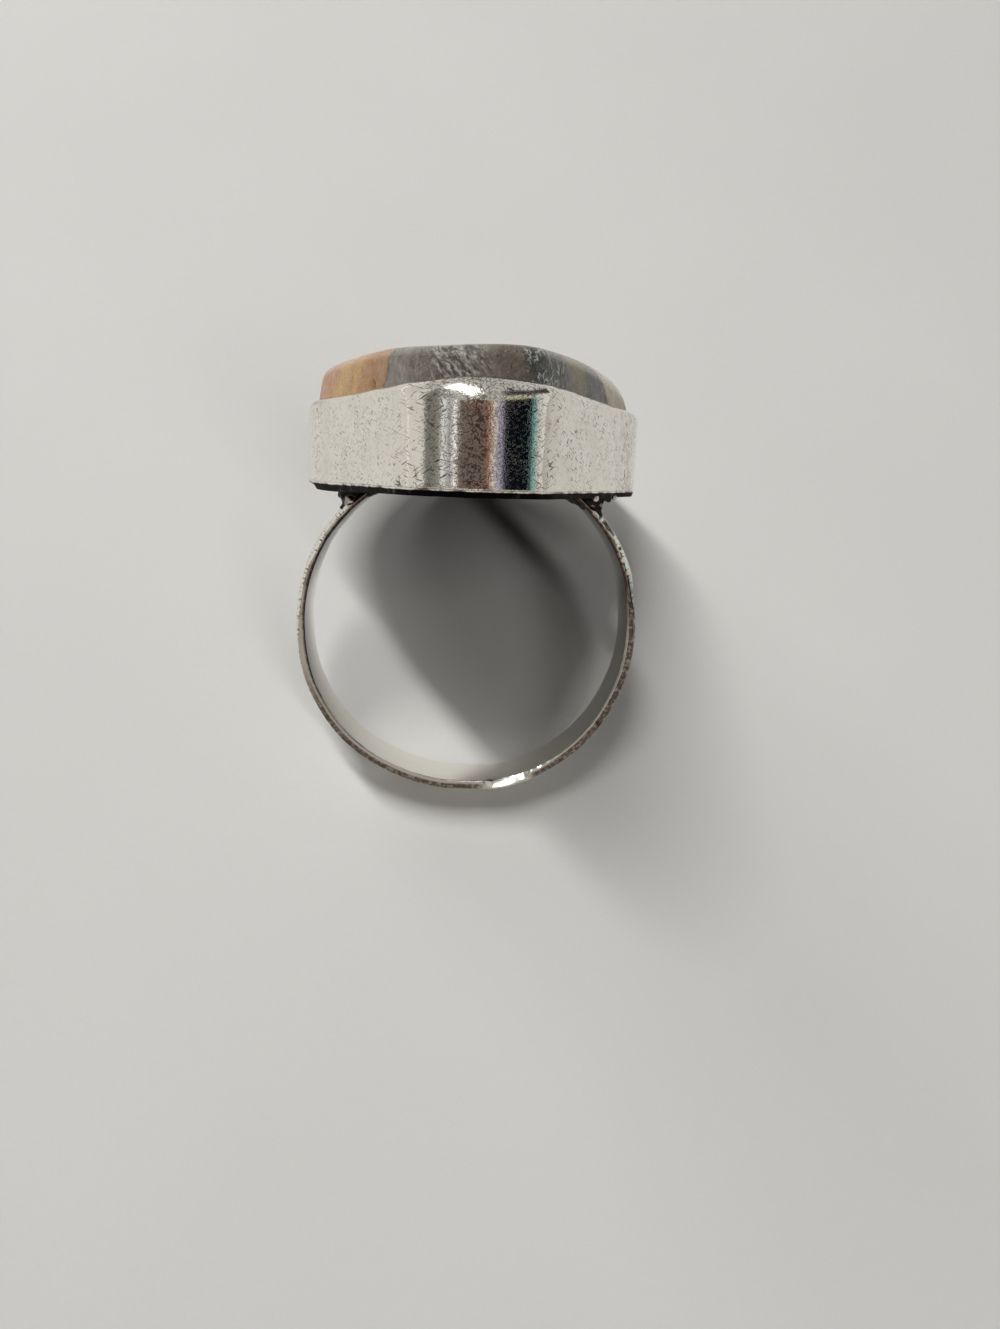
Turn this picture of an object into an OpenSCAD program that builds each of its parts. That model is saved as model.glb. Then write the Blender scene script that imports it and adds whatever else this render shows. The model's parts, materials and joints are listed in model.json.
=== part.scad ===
// Statement ring: a tall plain silver bezel on a flat band, with one large pear-shaped stone.
//
// The ring is drawn in its own frame first: X runs across the finger, Y goes from the middle of
// the finger up through the stone, and Z runs along the finger towards the narrow nose of the
// bezel. It is then laid on its side, where it rests on two places: the edge of the band and the
// corner under the round end of the bezel.

/* [Band] */
// Inside diameter of the band
finger_d = 19; // [17:0.5:21]
// Thickness of the band
band_t = 0.5; // [0.4:0.1:0.9]
// Width of the band along the finger
band_w = 3.7; // [2.5:0.1:5]
// Distance from the middle of the finger to the underside of the backplate
seat_y = 7.65; // [7:0.05:8]

/* [Bezel] */
// Radius of the bezel's round end
round_r = 10.3; // [9:0.1:12]
// Radius of the bezel's nose
nose_r = 4.3; // [3:0.1:6]
// Length of the bezel along the finger
bezel_l = 30.6; // [26:0.1:34]
// How far the middle of the bezel lies in front of the middle of the band
bezel_shift = 0.1; // [-1:0.1:1]
// Thickness of the backplate
plate_t = 0.35; // [0.3:0.05:0.8]
// Height of the wall above the backplate
wall_h = 4.7; // [3:0.1:6]
// Thickness of the wall
wall_t = 0.5; // [0.4:0.05:0.6]
// Height of the rim that is pressed inwards over the stone
rim_h = 0.5; // [0.3:0.1:1]

/* [Stone] */
// How far the stone's side stands in from the outside of the wall
stone_inset = 0.78; // [0.7:0.01:1]
// How far the stone sits off the middle of the bezel, across the finger
stone_shift = 0.08; // [0:0.01:0.14]
// Gap between the stone and the silver
stone_gap = 0.06; // [0.04:0.01:0.08]
// Height of the domed top above the rim, in the middle
dome_rise = 2.4; // [2.2:0.05:3]
// Radius of the dome's curve across the finger
dome_r_across = 100; // [60:5:150]
// Radius of the dome's curve along the finger
dome_r_along = 175; // [120:5:250]
// Radius of the rounded edge between the side and the top
edge_r = 0.4; // [0.2:0.05:0.5]
// How much more the edge is rounded off on the right of the round end
edge_worn = 2.3; // [0:0.1:2.5]

/* [Solder] */
// How far each joint reaches along the backplate, outside the band
solder_out = 1.0; // [0.5:0.1:1.5]
// How far each joint reaches along the backplate, inside the band
solder_in = 0.45; // [0.3:0.05:0.8]
// How far each joint runs down the outside of the band
solder_down = 1.5; // [1.1:0.1:2]

/* [Hidden] */
$fn = 96;

band_out_r = finger_d / 2 + band_t;
band_in_r = finger_d / 2;
plate_top = seat_y + plate_t;
rim_top = plate_top + wall_h;
neck_l = bezel_l - round_r - nose_r;
round_z = bezel_shift - bezel_l / 2 + round_r;
overlap = 0.05;

// Half the angle between the two straight sides of the pear
turn = asin((round_r - nose_r) / neck_l);
// The straight sides lie a hair inside the arcs' tangent, so that each meets its arc at a clean edge
side_tuck = 0.01;

// Steps of the stone's mesh, round it and up it
ROUND_STEPS = 40;
NOSE_STEPS = 20;
SIDE_STEPS = 12;
EDGE_STEPS = 5;
DOME_STEPS = 8;
FOOT_BEVEL = 0.25;

// At rest the ring leans on the band's edge and on the corner under the bezel's round end
reach_back = bezel_l / 2 - bezel_shift - band_w / 2;
lean = atan2(reach_back, seat_y + band_out_r);
floor_drop = band_out_r * sin(lean) + band_w / 2 * cos(lean);

// The stone's outline as points, from the right side round the nose and back round the end. Each
// is [x, z, outward x, outward z].
function arc(r, z, from, to, steps) = [for (i = [0 : steps - 1])
    let (a = from + (to - from) * i / steps) [r * cos(a), z + r * sin(a), cos(a), sin(a)]];
function line(from, to, steps) = [for (i = [0 : steps - 1]) from + (to - from) * i / steps];
function on_arc(r, z, a) = [r * cos(a), z + r * sin(a), cos(a), sin(a)];
function stone_outline() =
    let (r_round = round_r - stone_inset, r_nose = nose_r - stone_inset, nose_z = round_z + neck_l)
    concat(
        arc(r_nose, nose_z, turn, 180 - turn, NOSE_STEPS),
        line(on_arc(r_nose, nose_z, 180 - turn), on_arc(r_round, round_z, 180 - turn), SIDE_STEPS),
        arc(r_round, round_z, 180 - turn, 360 + turn, ROUND_STEPS),
        line(on_arc(r_round, round_z, turn), on_arc(r_nose, nose_z, turn), SIDE_STEPS)
    );

// Height of the domed top, a shallow curve both ways, highest a little behind the finger's middle
dome_z = -3;
function dome_y(x, z) = rim_top + dome_rise - x * x / (2 * dome_r_across)
    - pow(z - dome_z, 2) / (2 * dome_r_along);

// The rounded edge is wider where the right of the round end is worn
function edge_at(p) = edge_r + edge_worn * pow(max(0, p[0] / round_r), 3);

function level_ring(inset, y) = [for (p = stone_outline()) [p[0] - inset * p[2], y, p[1] - inset * p[3]]];
function edge_ring(angle) = [for (p = stone_outline())
    let (r = edge_at(p), inset = r * (1 - cos(angle)), x = p[0] - inset * p[2], z = p[1] - inset * p[3])
    [x, dome_y(x, z) - r * (1 - sin(angle)), z]];
function dome_ring(share) = [for (p = edge_ring(90))
    let (x = p[0] * share, z = dome_z + (p[2] - dome_z) * share) [x, dome_y(x, z), z]];
stone_foot = plate_top + stone_gap;
stone_rings = concat(
    [level_ring(FOOT_BEVEL, stone_foot), level_ring(0, stone_foot + FOOT_BEVEL)],
    [for (i = [0 : EDGE_STEPS]) edge_ring(90 * i / EDGE_STEPS)],
    [for (i = [1 : DOME_STEPS - 1]) dome_ring(1 - i / DOME_STEPS)]
);

// A pear outline, drawn in by an inset: X across, Y towards the nose
module pear(inset) {
    r_round = round_r - inset;
    r_nose = nose_r - inset;
    translate([0, round_z]) circle(r = r_round);
    translate([0, round_z + neck_l]) circle(r = r_nose);
    polygon([
        for (side = [1, -1])
            for (end = side > 0 ? [0, 1] : [1, 0])
                let (r = (end == 0 ? r_round : r_nose) - side_tuck)
                    [side * r * cos(turn), round_z + end * neck_l + r * sin(turn)]
    ]);
}

// A sheet between two heights above the middle of the finger
module sheet(from, to) {
    rotate([90, 0, 0]) translate([0, 0, -to]) linear_extrude(height = to - from) children();
}

// The resting ring is centred front to back, from the band's edge to the stone's round end
front_y = -band_out_r * cos(lean) - band_w / 2 * sin(lean);
back_y = max([for (ring = stone_rings) for (p = ring) p[1] * cos(lean) - p[2] * sin(lean)]);
middle_y = (front_y + back_y) / 2;

module at_rest() {
    translate([0, -middle_y, floor_drop]) rotate([lean, 0, 0]) children();
}

module band() {
    difference() {
        cylinder(r = band_out_r, h = band_w, center = true);
        cylinder(r = band_in_r, h = band_w + 1, center = true);
        translate([-band_out_r, seat_y + overlap, -band_w]) cube([2 * band_out_r, band_out_r, 2 * band_w]);
    }
}

// How far across the band's outside or inside lies at a distance below the backplate
function band_x(r, below) = sqrt(pow(r, 2) - pow(seat_y - below, 2));

// A joint's outline at the right foot: from the plate down the band's outside, and up its inside
module solder_outline() {
    thin = 0.08;
    polygon([
        [band_x(band_out_r, 0) + solder_out, seat_y + overlap],
        [band_x(band_out_r, 0) + solder_out * 0.85, seat_y - 0.14],
        [band_x(band_out_r, 0.5) + thin * 2, seat_y - 0.5],
        [band_x(band_out_r, 1) + thin, seat_y - 1],
        [band_x(band_out_r, solder_down) - thin, seat_y - solder_down],
        [band_x(band_in_r, 0.9) + thin, seat_y - 0.9],
        [band_x(band_in_r, 0.35) - thin * 2, seat_y - 0.35],
        [band_x(band_in_r, 0) - solder_in, seat_y + overlap]
    ]);
}

module solder() {
    for (side = [0, 1])
        mirror([side, 0, 0])
            linear_extrude(height = band_w * 0.94, center = true) solder_outline();
}

module setting() {
    color("silver") at_rest() {
        difference() {
            sheet(seat_y, rim_top) pear(0);
            sheet(plate_top, rim_top - rim_h) pear(wall_t);
            sheet(rim_top - rim_h - overlap, rim_top + 1)
                translate([stone_shift, 0]) pear(stone_inset - stone_gap);
        }
        band();
        solder();
    }
}

module stone() {
    around = len(stone_rings[0]);
    rows = len(stone_rings);
    bottom = rows * around;
    top = bottom + 1;
    points = concat(
        [for (ring = stone_rings) each ring],
        [[0, stone_foot, dome_z], [0, dome_y(0, dome_z), dome_z]]
    );
    sides = [for (row = [0 : rows - 2]) for (i = [0 : around - 1])
        let (j = (i + 1) % around, low = row * around, high = low + around)
        each [[low + i, high + i, high + j], [low + i, high + j, low + j]]];
    floor_faces = [for (i = [0 : around - 1]) [bottom, i, (i + 1) % around]];
    top_faces = [for (i = [0 : around - 1])
        [top, (rows - 1) * around + (i + 1) % around, (rows - 1) * around + i]];
    color("tan") at_rest()
        translate([stone_shift, 0, 0])
            polyhedron(points = points, faces = concat(sides, floor_faces, top_faces));
}

setting();
stone();
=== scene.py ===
# %% [markdown]
# A statement ring lies on its side on a table. A tall plain silver wall, the bezel, holds one large
# pear-shaped stone, and a thin flat band is soldered under it. This lesson dresses the exact model
# of the ring with softer, slightly uneven shapes and with finishes made of nodes. The exact model
# comes in first, as a frame that fixes every size and place.

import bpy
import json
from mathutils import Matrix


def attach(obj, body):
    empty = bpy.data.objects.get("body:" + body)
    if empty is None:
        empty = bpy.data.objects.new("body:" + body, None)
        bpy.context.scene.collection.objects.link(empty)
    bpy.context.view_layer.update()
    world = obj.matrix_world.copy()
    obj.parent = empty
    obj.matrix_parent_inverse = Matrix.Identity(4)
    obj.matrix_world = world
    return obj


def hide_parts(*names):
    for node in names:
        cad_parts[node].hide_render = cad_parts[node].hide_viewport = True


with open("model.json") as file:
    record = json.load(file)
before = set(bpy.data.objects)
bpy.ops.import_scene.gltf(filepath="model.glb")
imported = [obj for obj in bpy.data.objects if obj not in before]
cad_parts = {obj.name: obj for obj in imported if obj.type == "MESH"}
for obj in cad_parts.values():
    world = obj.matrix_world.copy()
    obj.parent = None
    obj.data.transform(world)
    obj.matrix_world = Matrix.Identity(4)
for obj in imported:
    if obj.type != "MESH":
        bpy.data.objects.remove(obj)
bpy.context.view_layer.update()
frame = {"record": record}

# %% [markdown]
# A ring is easiest to shape upright, with the finger as one axis, although it lies tilted on the
# table. Each piece could be made upright and then turned, but then each would need the same turn
# again. Instead one small function takes a place in the ring's own frame, in millimetres, to its
# place on the table, in metres. The middle of the finger hole and its axis come from the record.

# %% The ring's own frame
import json
from math import asin, cos, degrees, exp, pi, radians, sin, sqrt

import bmesh
import bpy
from mathutils import Matrix, Vector, noise

MM = 0.001
finger_hole = frame["record"]["mounts"][0]
MIDDLE = Vector(finger_hole["pos_m"])
ALONG = Vector(finger_hole["axis"]).normalized()
ACROSS = Vector((1, 0, 0))
UP = ALONG.cross(ACROSS)


def on_table(x, y, z):
    """Where a place in the ring's frame lies: x across the finger, y up to the stone, z along it."""
    return MIDDLE + (ACROSS * x + UP * y + ALONG * z) * MM


def in_ring(place):
    """The way back: a place on the table as x, y and z in the ring's frame, in millimetres."""
    reach = (place - MIDDLE) / MM
    return Vector((reach.dot(ACROSS), reach.dot(UP), reach.dot(ALONG)))


print("The ring leans back by", round(degrees(asin(UP.z)), 1), "degrees")

# %% [markdown]
# These are the driving sizes of the real ring, in millimetres. Every piece below is worked out from
# them, so the pieces fit each other as the soldered metal and the set stone do. A few differ from
# the exact model's by up to a twentieth of a millimetre, to follow the real ring more closely.

# %% Sizes of the ring
band_out_r = 10.0
band_t = 0.5
band_w = 3.7
plate_foot = 7.65
plate_top = 8.0
rim_top = 12.75
wall_t = 0.5
round_r = 10.25
nose_r = 4.25
round_z = -4.95
nose_z = 11.15
stone_inset = 0.75
stone_shift = 0.08
stone_gap = 0.06
dome_rise = 2.35
dome_r_across = 100
dome_r_along = 175
dome_z = -3

turn = asin((round_r - nose_r) / (nose_z - round_z))
nose_arc = (pi / 2 - turn) * nose_r
straight = sqrt((nose_z - round_z) ** 2 - (round_r - nose_r) ** 2)
round_arc = (pi / 2 + turn) * round_r
HALF_WAY = nose_arc + straight + round_arc
print("From the tip of the nose round to the tail:", round(HALF_WAY, 2), "mm")

# %% [markdown]
# The bezel, the backplate and the stone share one outline, a pear: a small arc at the nose, two
# straight sides and a large arc at the tail. A curve object could draw it, but a function of the way
# walked from the tip of the nose also says which part of the ring a point is on. That is what
# the finishes need later, because a scratch or a stain sits at a place along the wall.

# %% Walk round the pear
def pear_at(way):
    """x, z and the outward direction at a way from the tip of the nose. The left side is negative."""
    side = -1 if way < 0 else 1
    walked = abs(way)
    if walked < nose_arc:
        angle = pi / 2 - walked / nose_r
        x, z = nose_r * cos(angle), nose_z + nose_r * sin(angle)
    elif walked < nose_arc + straight:
        angle = turn
        share = (walked - nose_arc) / straight
        r = nose_r + (round_r - nose_r) * share
        x = r * cos(turn)
        z = nose_z + (round_z - nose_z) * share + r * sin(turn)
    else:
        angle = turn - (walked - nose_arc - straight) / round_r
        x, z = round_r * cos(angle), round_z + round_r * sin(angle)
    return side * x, z, side * cos(angle), sin(angle)


def walk(steps):
    """Ways from the tail, up the left side to the nose and back down the right side."""
    return [HALF_WAY * (2 * i / steps - 1) for i in range(steps)]


print("The widest place is", round(max(pear_at(w)[0] for w in walk(720)), 2), "mm off the middle")

# %% [markdown]
# Nothing on a handmade ring is quite even. A displace modifier would roughen a whole piece alike, so
# three small functions put the unevenness where it belongs: a soft bell, a short table that is read
# with soft steps, and smooth random bumps that come out the same on every run.

# %% Helpers for uneven shapes
def hump(value, middle, width):
    """A soft bell, 1 at its middle, for anything that fades in and out along a way."""
    return exp(-(((value - middle) / width) ** 2))


def between(table, value):
    """Reads a short table of (place, amount) pairs, with soft steps from one pair to the next."""
    value = min(max(value, table[0][0]), table[-1][0])
    for (low, a), (high, b) in zip(table, table[1:]):
        if value <= high:
            share = (value - low) / (high - low)
            return a + (b - a) * share * share * (3 - 2 * share)


def uneven(x, y, z, size, seed=0.0):
    """Smooth random bumps of about a size in millimetres, between -1 and 1, the same on every run."""
    return noise.noise(Vector((x, y, z)) / size + Vector((seed, seed * 0.7, -seed)))


bumps = [round(uneven(step / 3, 0, 0, 1), 2) for step in range(5)]
print("Bumps of 1 mm, read every third of a millimetre:", bumps)

# %% [markdown]
# Each solid piece is a loft: rings of points with the same number of points in each, joined by
# four-sided faces. It could be drawn by hand with extrusions and bevels, but a loft keeps full
# control of the small unevenness that makes metal look hand-made. The maker below also stores on each
# point its place in the ring's frame, so that every finish can be painted in millimetres.

# %% Make a piece from rings of points
def store_places(piece):
    """Keeps each point's place in the ring's frame, in millimetres, as the attribute ring_mm."""
    mesh = piece.data
    places = mesh.attributes.new("ring_mm", "FLOAT_VECTOR", "POINT")
    for point, kept in zip(mesh.vertices, places.data):
        kept.vector = in_ring(point.co)


def store(piece, name, values):
    """Keeps one number for each point of a piece under a name that a finish can read."""
    kept = piece.data.attributes.new(name, "FLOAT", "POINT")
    kept.data.foreach_set("value", values)


def finish_mesh(piece, sharp=50):
    """Turns the faces outwards, smooths the shading but for sharp edges, and stores the places."""
    shape = bmesh.new()
    shape.from_mesh(piece.data)
    bmesh.ops.recalc_face_normals(shape, faces=shape.faces)
    shape.to_mesh(piece.data)
    shape.free()
    piece.data.shade_smooth()
    piece.data.set_sharp_from_angle(angle=radians(sharp))
    store_places(piece)
    print(piece.name, "has", len(piece.data.vertices), "points and", len(piece.data.polygons), "faces")


def loft(name, rings, closed=False, sharp=50):
    """A piece of rings of (x, y, z). A closed one joins its last ring to its first, as a tyre does."""
    around = len(rings[0])
    places = [on_table(*p) for ring in rings for p in ring]
    faces = []
    for row in range(len(rings) if closed else len(rings) - 1):
        low, high = row * around, (row + 1) % len(rings) * around
        for i in range(around):
            j = (i + 1) % around
            faces.append((low + i, low + j, high + j, high + i))
    if not closed:
        faces.append(tuple(reversed(range(around))))
        faces.append(tuple(range(len(places) - around, len(places))))
    mesh = bpy.data.meshes.new(name)
    mesh.from_pydata(places, [], faces)
    piece = bpy.data.objects.new(name, mesh)
    bpy.context.collection.objects.link(piece)
    finish_mesh(piece, sharp)
    return piece


def part_of_ring(piece, node):
    """The piece rides with the ring and stands for a solid of the model, which it hides."""
    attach(piece, "root")
    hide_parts(node)


# %% [markdown]
# The bezel wall is a strip of silver bent round the stone. Its top was rubbed over, or burnished,
# onto the stone's side, so the top millimetre rolls inwards, most of all at the nose. A bevel would
# roll it evenly, so functions of the way round say how high the rim stands, where the roll begins,
# how far the lip reaches in, and how deep the small dents are.

# %% Bezel wall: the rim and the dents
LEAN_DEPTH = 1.4
LEAN_MOST = 0.22
LIP_GAP = 0.02

# Where the rim stands proud or dips: (way from the tip, height, width)
rim_waves = [(0.2, 0.2, 2.6), (8, 0.12, 5.5), (-4.2, -0.05, 2.3)]

# Dents of the wall, slow and fine: (depth, size, seed)
wall_dents = [(0.018, 3.5, 7.0), (0.004, 0.7, 2.0)]


def rim_line(way):
    """Height of the rim. It stands proud at the nose and on the right, and dips left of the nose."""
    proud = sum(height * hump(way, middle, width) for middle, height, width in rim_waves)
    return rim_top - 0.03 + proud + 0.02 * uneven(way, 0, 0, 1.6, 5.0)


def roll_height(way):
    """How far below the rim the wall begins to roll over."""
    return 0.42 + 0.74 * hump(way, 0.2, 3.0) + 0.08 * uneven(way, 0, 0, 2.5, 3.1)


def side_lean(way, y):
    """How far the stone's left side spreads towards its foot, where it wasn't ground upright."""
    below = (rim_top + LEAN_DEPTH - y) / LEAN_DEPTH
    return LEAN_MOST * hump(way, -21, 6) * min(1, max(0, below))


def lip_reach(way):
    """How far the rim reaches in, up to the stone, which sits a little off the middle."""
    outward = pear_at(way)[2]
    return stone_inset - LIP_GAP - stone_shift * outward - side_lean(way, rim_top)


def wall_dent(way, y):
    """Small dents of a hand-worked wall, only ever inwards."""
    return sum(depth * (1 + uneven(way, y, 0, size, seed)) for depth, size, seed in wall_dents)


print("The rim stands", round(rim_line(0), 2), "mm over the finger's middle at the nose")

# %% [markdown]
# The wall's cut goes up the outside, over the roll and down the inside. The roll is a quarter of an
# ellipse that starts with a slight kink, as a burnisher leaves it. An extra row just above the foot
# holds the smooth shading of the foot's small chamfer off the flat wall.

# %% Bezel wall: its cut and its mesh
WALL_STEPS = 640
RISE_STEPS = 12
ROLL_STEPS = 9
ROLL_KINK = radians(14)
FOOT_EDGE = 0.03
FOOT_ROWS = 3
dented_rows = range(FOOT_ROWS, FOOT_ROWS + RISE_STEPS + ROLL_STEPS)

# How far below the rim the lip's rounded edge, its foot and the inside of the wall begin
LIP_EDGE = 0.12
LIP_FOOT = 0.5
INSIDE_TOP = 0.62


def wall_section(way):
    """The wall's cut at a way: (inset, height) from the plate up the outside and down the inside."""
    roll, reach, top = roll_height(way), lip_reach(way), rim_line(way)
    foot = plate_top + 2 * FOOT_EDGE
    section = [(FOOT_EDGE, plate_top), (0.0, plate_top + FOOT_EDGE), (0.0, foot)]
    for i in range(1, RISE_STEPS + 1):
        section.append((0.0, foot + (top - roll - foot) * i / RISE_STEPS))
    for i in range(1, ROLL_STEPS + 1):
        angle = ROLL_KINK + (pi / 2 - ROLL_KINK) * i / ROLL_STEPS
        inset = reach * (1 - cos(angle) / cos(ROLL_KINK))
        section.append((inset, top - roll * (1 - sin(angle)) / (1 - sin(ROLL_KINK))))
    section += [(reach, top - LIP_EDGE), (reach, top - LIP_FOOT)]
    return section + [(wall_t, top - INSIDE_TOP), (wall_t, plate_top)]


def climb(section):
    """How far each point of a cut lies from its foot, walked over the metal."""
    walked = [plate_top]
    for (inset, y), (next_inset, next_y) in zip(section, section[1:]):
        walked.append(walked[-1] + sqrt((next_inset - inset) ** 2 + (next_y - y) ** 2))
    return walked


def make_wall():
    ways = walk(WALL_STEPS)
    sections = [wall_section(way) for way in ways]
    rings = []
    for row in range(len(sections[0])):
        ring = []
        for way, section in zip(ways, sections):
            x, z, out_x, out_z = pear_at(way)
            inset, y = section[row]
            if row in dented_rows:
                inset += wall_dent(way, y)
            ring.append((x - inset * out_x, y, z - inset * out_z))
        rings.append(ring)
    wall = loft("bezel_wall", rings, closed=True)
    store(wall, "way_mm", [way for _ in rings for way in ways])
    climbs = [climb(section) for section in sections]
    store(wall, "climb_mm", [walked[row] for row in range(len(rings)) for walked in climbs])
    return wall


bezel_wall = make_wall()
part_of_ring(bezel_wall, "setting")

# %% [markdown]
# The backplate is the flat sheet that the wall stands on. Its edge was filed after soldering: it
# catches a thin line of light along the top and leans in underneath, most of all on the far left,
# where the file took the corner off. A bevel modifier would cut it evenly, so the loft draws it.

# %% Backplate
plate_t = plate_top - plate_foot

# The bright top edge: (how far in, how far down, tarnish from 0 to 1)
bright_edge = [(0.35, 0.0, 0.15), (0.03, 0.0, 0.15), (0.0, 0.02, 0.15), (0.004, 0.07, 0.35)]

# The filed edge under it: (how far in as a share of the filing, how far down)
filed_edge = [(0.4, 0.12), (0.8, 0.24), (1.0, plate_t), (1.25, plate_t)]

# The underside, as shares of the edge's distance from the middle
underside = (0.7, 0.28, 0.084)


def filed(way):
    """How far the file took the plate's lower edge in, by eye, and much more at the far left."""
    left_end = 0.45 * hump(way, -23, 2.5)
    return 0.13 + left_end + 0.05 * uneven(way, 0, 0, 1.8, 9.0)


def nick(way):
    """A tiny nick in the plate's edge, right of the nose."""
    return 0.07 * hump(way, 2.1, 0.12)


def edge_point(way, inset, drop):
    """A point of the plate's edge, with its tiny dents. The edge is deeper along the left side."""
    x, z, out_x, out_z = pear_at(way)
    drop *= 1 + 0.5 * hump(way, -17, 7)
    inset += nick(way) + 0.006 * (1 + uneven(way, drop, 0, 0.6, 4.0))
    return x - inset * out_x, plate_top - drop, z - inset * out_z


def make_plate():
    ways = walk(WALL_STEPS)
    rings = [[edge_point(way, inset, drop) for way in ways] for inset, drop, _ in bright_edge]
    for share, drop in filed_edge:
        rings.append([edge_point(way, share * filed(way), drop) for way in ways])
    edge = rings[-1]
    for share in underside:
        rings.append([(x * share, plate_foot, z * share) for x, _, z in edge])
    plate = loft("backplate", rings)
    tarnish = [level for _, _, level in bright_edge] + [1.0] * (len(filed_edge) + len(underside))
    store(plate, "tarnish", [level for level in tarnish for _ in ways])
    return plate


backplate = make_plate()
part_of_ring(backplate, "setting")

# %% [markdown]
# The shank is a thin flat band, bent round by hand and cut off flat under the plate. It is a little
# out of round and a little lumpy, and a file took its near corners off by eye: the outer corner on
# both arms, and the inner one in one short flat at the bottom, which flashes white under the lamp.
# A circle with a bevel would be too perfect. Short tables say how the band's shape changes with the
# angle, counted in degrees from the right side, so 270 is the bottom and 360 the right side again.

# %% Shank: its shape as tables
# (angle, distance of the outside from the finger's middle)
outer_radius = [
    (125, 9.82), (138, 9.88), (152, 9.95), (182, 9.96), (205, 10.1), (225, 10.15), (250, 10.05),
    (270, 10.05), (285, 10.19), (310, 10.09), (340, 9.98), (368, 9.91), (380, 10.1), (410, 10.11),
]

# (angle, how much of the corner is filed off)
outer_corner = [
    (125, 0.3), (150, 0.32), (175, 0.22), (195, 0.03), (335, 0.03), (362, 0.16), (380, 0.3),
    (402, 0.3),
]
inner_corner = [
    (265, 0.05), (276.5, 0.07), (278.5, 0.45), (292, 0.45), (295, 0.12), (315, 0.06), (330, 0.12),
    (352, 0.12), (362, 0.05),
]

# (angle, place of the near face along the finger)
near_face = [(125, 1.75), (138, 1.83), (391, 1.83), (402, 1.72)]

# (angle, how lumpy the near face is, from 0 to 1)
lumpy_face = [
    (290, 0), (296, 1), (306, 1), (312, 0.2), (322, 0.6), (332, 0.6), (338, 0), (374, 0), (381, 1),
    (402, 1), (408, 0),
]

print("The band is furthest out of round by", round(max(r for _, r in outer_radius) - band_out_r, 2), "mm")

# %% [markdown]
# The band's cut is a flat rectangle with four corners, each rounded or filed off in its own way. Two
# points just inside each flat face keep the corners' smooth shading off it. The loft follows the
# band from the left foot, down round the bottom, to the right foot.

# %% Shank: its cut and its mesh
BAND_STEPS = 420
BAND_SHIFT = -0.1
CORNER_STEPS = 4
FLAT_SLOPE = 0.72
FLAT_MOST = 0.44
FACE_HOLD = 0.04
FACE_LUMP = 0.07
foot_angle = asin((plate_foot + 0.15) / band_out_r)


def corner(r, z, wide, deep, flat, from_face=False):
    """Points round a corner at (r, z), from the curved wall to the flat face or the other way."""
    points = []
    for i in range(CORNER_STEPS + 1):
        share = i / CORNER_STEPS
        off_r = flat * share + (1 - flat) * (1 - cos(pi / 2 * share))
        off_z = flat * (1 - share) + (1 - flat) * (1 - sin(pi / 2 * share))
        points.append((r + wide * off_r, z + deep * off_z))
    return points[::-1] if from_face else points


def face(start, end):
    """Two points just inside the ends of a flat face."""
    return [
        (a[0] + (b[0] - a[0]) * FACE_HOLD, a[1] + (b[1] - a[1]) * FACE_HOLD)
        for a, b in ((start, end), (end, start))
    ]


def band_section(angle):
    """The band's cut at an angle, as (distance from the finger's middle, place along the finger)."""
    turned = degrees(angle)
    walked = angle * band_out_r
    lowest = band_out_r / max(0.1, abs(sin(angle)))
    out_r = min(between(outer_radius, turned), lowest)
    in_r = out_r - band_t - 0.02 * sin(3 * angle + 1)
    near = between(near_face, turned) + 0.01 * uneven(walked, 0, 0, 1.3, 6.0)
    near += FACE_LUMP * between(lumpy_face, turned) * (uneven(walked, 0, 0, 0.45, 4.0) - 0.3)
    by_eye = 1 + 0.3 * uneven(walked, 0, 0, 0.7, 8.0)
    outer = between(outer_corner, turned) * by_eye
    inner = min(between(inner_corner, turned) * by_eye, FLAT_MOST)
    corners = [
        corner(out_r, near, -outer, -0.8 * outer, 0.85),
        corner(in_r, near, inner, -FLAT_SLOPE * inner, 0.9, True),
        corner(in_r, -band_w / 2, 0.1, 0.1, 0),
        corner(out_r, -band_w / 2, -0.035, 0.035, 0, True),
    ]
    section = []
    for rounded, following in zip(corners, corners[1:] + corners[:1]):
        section += rounded + face(rounded[-1], following[0])
    return section


def make_shank():
    rings = []
    angles = []
    outness = []
    for i in range(BAND_STEPS + 1):
        angle = pi - foot_angle + (pi + 2 * foot_angle) * i / BAND_STEPS
        section = band_section(angle)
        low, high = min(r for r, _ in section), max(r for r, _ in section)
        rings.append([(BAND_SHIFT + r * cos(angle), r * sin(angle), z) for r, z in section])
        angles += [degrees(angle) for _ in section]
        outness += [(r - low) / (high - low) for r, _ in section]
    shank = loft("shank", rings)
    on_outer_corner = [1.0] * CORNER_STEPS + [0.4]
    elsewhere = [0.0] * (len(rings[0]) - len(on_outer_corner))
    store(shank, "filed", (on_outer_corner + elsewhere) * len(rings))
    store(shank, "angle_deg", angles)
    store(shank, "outness", outness)
    return shank


shank = make_shank()
part_of_ring(shank, "setting")

# %% [markdown]
# Black, lumpy solder fills the corner between each end of the band and the plate. Melted metal has
# no corners, so this piece is grown in another way: a rough wedge and a few beads are
# remeshed into one skin, smoothed and roughened with random bumps.

# %% Solder joints
SIDES = {"left": -1, "right": 1}
SKIN = 0.065

# Lumps of the melted metal: (height, size, seed)
melt_lumps = [(0.09, 0.5, 1.0), (0.03, 0.2, 2.0)]

# The wedge, seen along the finger: (across, up), down the band's outside and up its inside
joint_outline = [
    (7.9, 7.7), (7.7, 7.45), (7.5, 7.1), (7.45, 6.8), (7.6, 6.55),
    (7.45, 6.45), (6.85, 6.75), (6.15, 7.15), (5.5, 7.45), (5.1, 7.7),
]

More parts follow.
